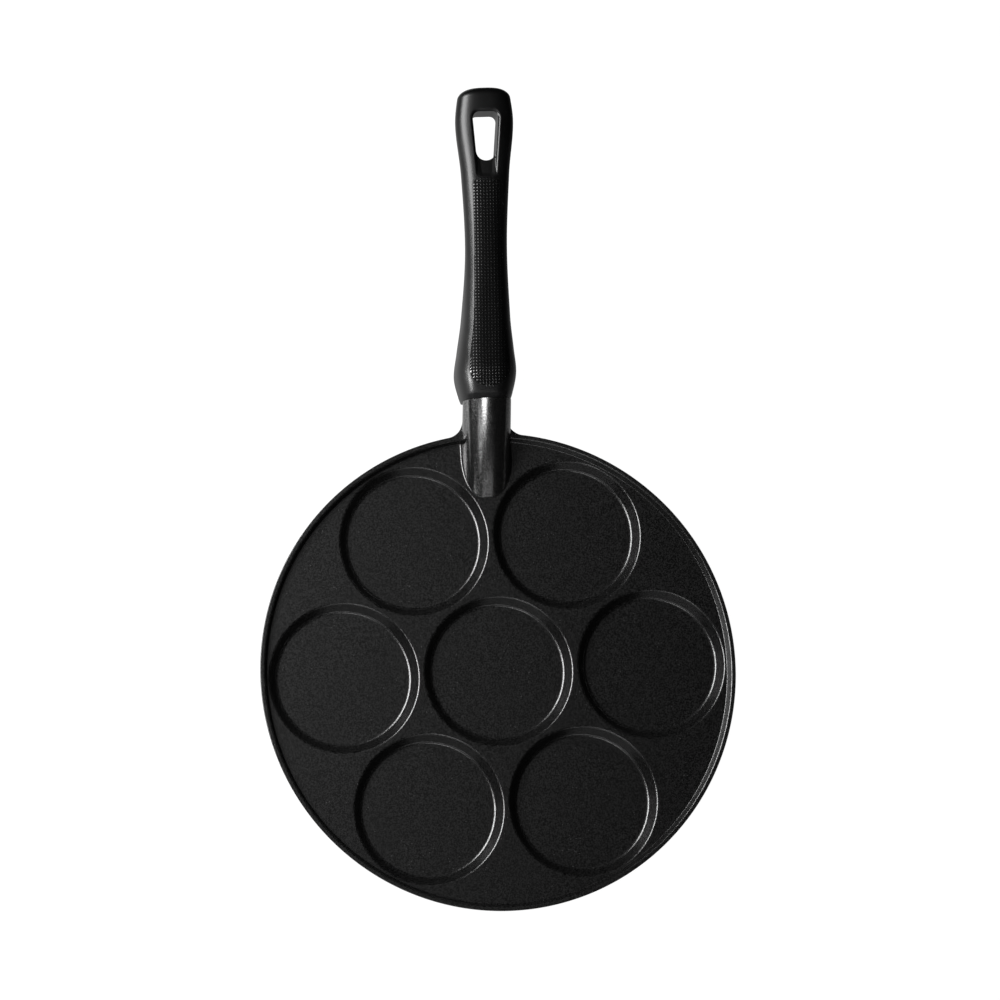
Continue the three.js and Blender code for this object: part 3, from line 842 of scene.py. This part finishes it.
def emboss_panel(ring, mark, middle, row, at):
    """Sinks the panel's ground a little into the grip's top and raises its dots, which stand on a square
    grid measured over the surface. A dot stands whole, and only where its centre is inside the border."""
    border = panel_half_width(at)
    row_offset = (row + DOT_STEPS // 2) % DOT_STEPS - DOT_STEPS // 2
    dot_border = panel_half_width(at - row_offset * DOT_STEP) - DOT_RADIUS - PANEL_EDGE / 2
    ends = ease((at - PANEL_FROM) / PANEL_EDGE) * ease((PANEL_TO - at) / PANEL_EDGE)
    level = [p.copy() for p in ring]
    for i in range(middle - TOP_COLUMNS, middle + TOP_COLUMNS + 1):
        sunk = ends * ease((border - abs(level[i].x)) / PANEL_EDGE)
        column_offset = (i - middle + DOT_STEPS // 2) % DOT_STEPS - DOT_STEPS // 2
        distance = math.hypot(row_offset, column_offset) * DOT_STEP / DOT_RADIUS
        centre = level[i - column_offset]
        raised = max(1 - distance * distance, 0.0) ** 2 if abs(centre.x) < dot_border else 0.0
        ring[i].z += DOT_HEIGHT * raised - PANEL_DEPTH * sunk
        if raised > DOT_SKIRT:
            mark[i] = DOT
        elif sunk > GROUND_FROM:
            mark[i] = GROUND


def resin_tone(pattern, tones):
    return pattern.blend(*[grey(tone, RESIN_TINT) for tone in tones])


def phenolic_resin():
    """Black moulded resin: nearly smooth, with the mould's fine matt grain and faint handling marks."""
    finish, flow, place, shader = new_finish("phenolic_resin")
    grain = place.noise(0.35, 2.0, 0.55)
    cloud = place.noise(14.0, 3.0)
    tone = resin_tone(cloud.step(0.3, 0.75), RESIN_TONES)
    rough = 0.24 + cloud * 0.06 + grain * 0.08
    flow.fill(shader, {"Base Color": tone, "Roughness": rough, "Specular IOR Level": 0.25})
    flow.fill(shader, {"Normal": flow.bump(grain, 0.04, 0.45)})
    return finish


def stipple_ground():
    """The panel's ground, spark-eroded in the mould: the same resin, but dull and nearly without gloss."""
    finish, flow, place, shader = new_finish("stipple_ground")
    grain = place.noise(0.3, 2.0, 0.6)
    tone = resin_tone(grain.step(0.3, 0.7), GROUND_TONES)
    flow.fill(shader, {"Base Color": tone, "Roughness": 0.5 + grain * 0.15, "Specular IOR Level": 0.04})
    flow.fill(shader, {"Normal": flow.bump(grain, 0.03, 0.4)})
    return finish


def worn_dots():
    """The panel's dots, polished by the hand, and most at the ends, where the thumb and the palm press."""
    finish, flow, place, shader = new_finish("worn_dots")
    grain = place.noise(0.25, 2.0, 0.55)
    tone = resin_tone(grain.step(0.3, 0.7), RESIN_TONES)
    along = flow.node("ShaderNodeSeparateXYZ", None, {"Vector": place}, "Y")
    thumb = 1 - along.step(*[(joint_y + at) * MILLIMETRE for at in THUMB_REST])
    palm = along.step(*[(joint_y + at) * MILLIMETRE for at in PALM_REST])
    flow.fill(shader, {"Base Color": tone, "Roughness": 0.2 + grain * 0.06, "Specular IOR Level": 0.14})
    flow.fill(shader, {"Coat Weight": thumb + palm * PALM_POLISH, "Coat Roughness": 0.2})
    flow.fill(shader, {"Normal": flow.bump(grain, 0.02, 0.2)})
    return finish


resin = phenolic_resin()
rings, marks = grip_skin()
bm = lofted(rings)
bm.verts.index_update()
flags = [flag for mark in marks for flag in mark]
for face in bm.faces:
    kinds = {flags[v.index] for v in face.verts}
    face.material_index = DOT if DOT in kinds else min(kinds)
grip = piece_from(bm, "resin_grip", resin)
grip.data.materials.append(stipple_ground())
grip.data.materials.append(worn_dots())
bore_end = (HANG_NEAR + HANG_FAR) / 2 / math.cos(SCREW_RISE)
socket_end = TANG_LENGTH + CLEARANCE
bore = screw_bore([
    (hole_radius, socket_end - OVERLAP),
    (hole_radius, SHOULDER_AT),
    (BORE_RADIUS, SHOULDER_AT),
    (BORE_RADIUS, bore_end),
])
hollows = piece_from(bore, "bore", resin)
combine(hollows, piece_from(tang_bar(CLEARANCE, -TANG_ROOT, socket_end), "socket", resin), "UNION")
hang_heights = (joint_z, joint_z + GRIP_LENGTH)
hang_hole = lofted([[(p.x, joint_y + p.y, height) for p in hang_outline] for height in hang_heights])
combine(hollows, piece_from(hang_hole, "hanging_hole", resin), "UNION")
combine(grip, hollows, "DIFFERENCE")
shade(grip, GRIP_CREASE)
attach(grip, "root")
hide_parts("handle_grip")

# Screw and washers
# An M5 steel screw, zinc plated and passivated, with a plated flat washer and a hardened spring washer under
# its head. They lie at the bottom of the grip's bore and draw the grip against the neck's shoulder.


def plated_steel(name, low, high, roughness, lay):
    """Steel with the fine lay of its making, dull spots and, in the plating, a slightly cool tint."""
    finish, flow, place, shader = new_finish(name)
    along = flow.node("ShaderNodeVectorMath", {"operation": "MULTIPLY"}, {0: place, 1: lay})
    lines = along.noise(0.3, 3.0, 0.6)
    spots = place.noise(1.4, 3.0)
    tone = lines.step(0.3, 0.7).blend(grey(low, 0.02), grey(high, 0.02))
    tone = (spots.step(0.56, 0.7) * 0.4).blend(tone, grey(low * 0.5))
    rough = roughness + lines * 0.12 + spots.step(0.5, 0.72) * 0.15
    flow.fill(shader, {"Base Color": tone, "Metallic": 1.0, "Roughness": rough})
    flow.fill(shader, {"Normal": flow.bump(lines, 0.02, 0.3)})
    return finish


steel_finishes = {
    "handle_screw": plated_steel("zinc_steel", 0.52, 0.7, 0.2, (1.0, 0.15, 1.0)),
    "flat_washer": plated_steel("washer_steel", 0.55, 0.72, 0.26, (1.0, 1.0, 0.2)),
    "spring_washer": plated_steel("spring_steel", 0.22, 0.4, 0.32, (0.2, 1.0, 1.0)),
}
for node, steel in steel_finishes.items():
    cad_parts[node].material_slots[0].material = steel

# Studio
# A plain pale floor, one large soft light on the left, dimmer ones from above and from the near side, and the
# camera. The camera sees the floor evenly white; to all other rays it glows with painted light, bright on the
# left and dim on the right, in place of the light from the left falling on it. The narrow lamp_tongue catches
# the tongue's tip, and lamp_guard falls on the grip alone and picks out its guard. Sizes here are metres.
FLOOR_HALF = 20.0
FLOOR_DROP = 0.0005
FLOOR_TONE = 0.02
# Painted floor light: how far the floor's glow fades across it, and its levels on the left and on the right.
PAINTED_GLOW_REACH = 0.12
PAINTED_FLOOR_GLOW_TONES = (0.7, 0.08)
AMBIENT = 0.012

bm = bmesh.new()
bmesh.ops.create_grid(bm, x_segments=2, y_segments=2, size=FLOOR_HALF)
mesh = bpy.data.meshes.new("floor")
bm.to_mesh(mesh)
bm.free()
floor = bpy.data.objects.new("floor", mesh)
floor.location.z = -FLOOR_DROP
bpy.context.scene.collection.objects.link(floor)
finish, flow, place, shader = new_finish("pale_floor")
across = flow.node("ShaderNodeSeparateXYZ", None, {"Vector": place}, "X")
seen = flow.node("ShaderNodeLightPath", output="Is Camera Ray")
# Painted light and shade: to all but the camera the floor glows bright on the left and dim on the right.
painted_floor_light = across.step(-PAINTED_GLOW_REACH, PAINTED_GLOW_REACH).blend(*map(grey, PAINTED_FLOOR_GLOW_TONES))
flow.fill(shader, {"Base Color": grey(FLOOR_TONE), "Roughness": 0.9})
flow.fill(shader, {"Emission Color": seen.blend(painted_floor_light, grey(1.0)), "Emission Strength": 1.0})
mesh.materials.append(finish)


def soft_light(name, place, aim, width, height, power):
    """A rectangular lamp that shows in no view, with its power in watts."""
    lamp = bpy.data.lights.new(name, "AREA")
    lamp.shape = "RECTANGLE"
    lamp.size = width
    lamp.size_y = height
    lamp.energy = power
    light = bpy.data.objects.new(name, lamp)
    light.location = place
    light.rotation_euler = (Vector(aim) - Vector(place)).to_track_quat("-Z", "Y").to_euler()
    light.visible_camera = False
    bpy.context.scene.collection.objects.link(light)
    return light


soft_light("window_left", (-0.42, 0.16, 0.46), (0, 0.05, 0), 0.5, 0.28, 11.2)
soft_light("ceiling", (-0.26, 0.3, 1.5), (-0.26, 0.3, 0), 1.0, 1.0, 0.72)
soft_light("lamp_near", (-0.16, -0.75, 1.2), (0, 0.1, 0), 0.35, 0.25, 2.3)
soft_light("lamp_left", (-0.4, -0.69, 0.81), (0, 0.1, 0), 0.35, 0.17, 0.25)
soft_light("strip_near", (-0.25, -1.1, 0.4), (0, 0, 0), 1.4, 0.2, 2.2)
soft_light("lamp_tongue", (0.1, -0.9, 0.68), (0, 0.1, 0), 0.4, 0.1, 0.075)
grip_alone = bpy.data.collections.new("grip_alone")
grip_alone.objects.link(grip)
guard_lamp = soft_light("lamp_guard", (-0.53, -0.115, 0.125), (0, 0.155, 0.045), 0.3, 0.12, 7.5)
guard_lamp.light_linking.receiver_collection = grip_alone

world = bpy.data.worlds.new("studio")
world.use_nodes = True
background = world.node_tree.nodes["Background"]
background.inputs["Color"].default_value = grey(1.0)
background.inputs["Strength"].default_value = AMBIENT
bpy.context.scene.world = world
bpy.context.scene.view_settings.view_transform = "Standard"

CAMERA_TILT = math.radians(8)
CAMERA_TURN = math.radians(3.424)
CAMERA_AIM = Vector((0.00636, 0.09442, 0.0095))
CAMERA_DISTANCE = 2.2
CAMERA_LENS = 143.83

back = Vector((-math.tan(CAMERA_TILT), -math.tan(CAMERA_TILT), 1)).normalized()
right = Vector((math.sin(CAMERA_TURN), math.cos(CAMERA_TURN), 0)).cross(back).normalized()
camera = bpy.data.objects.new("camera", bpy.data.cameras.new("camera"))
camera.data.lens = CAMERA_LENS
camera.matrix_world = Matrix((right, back.cross(right), back)).transposed().to_4x4()
camera.location = CAMERA_AIM + back * CAMERA_DISTANCE
bpy.context.scene.collection.objects.link(camera)
bpy.context.scene.camera = camera
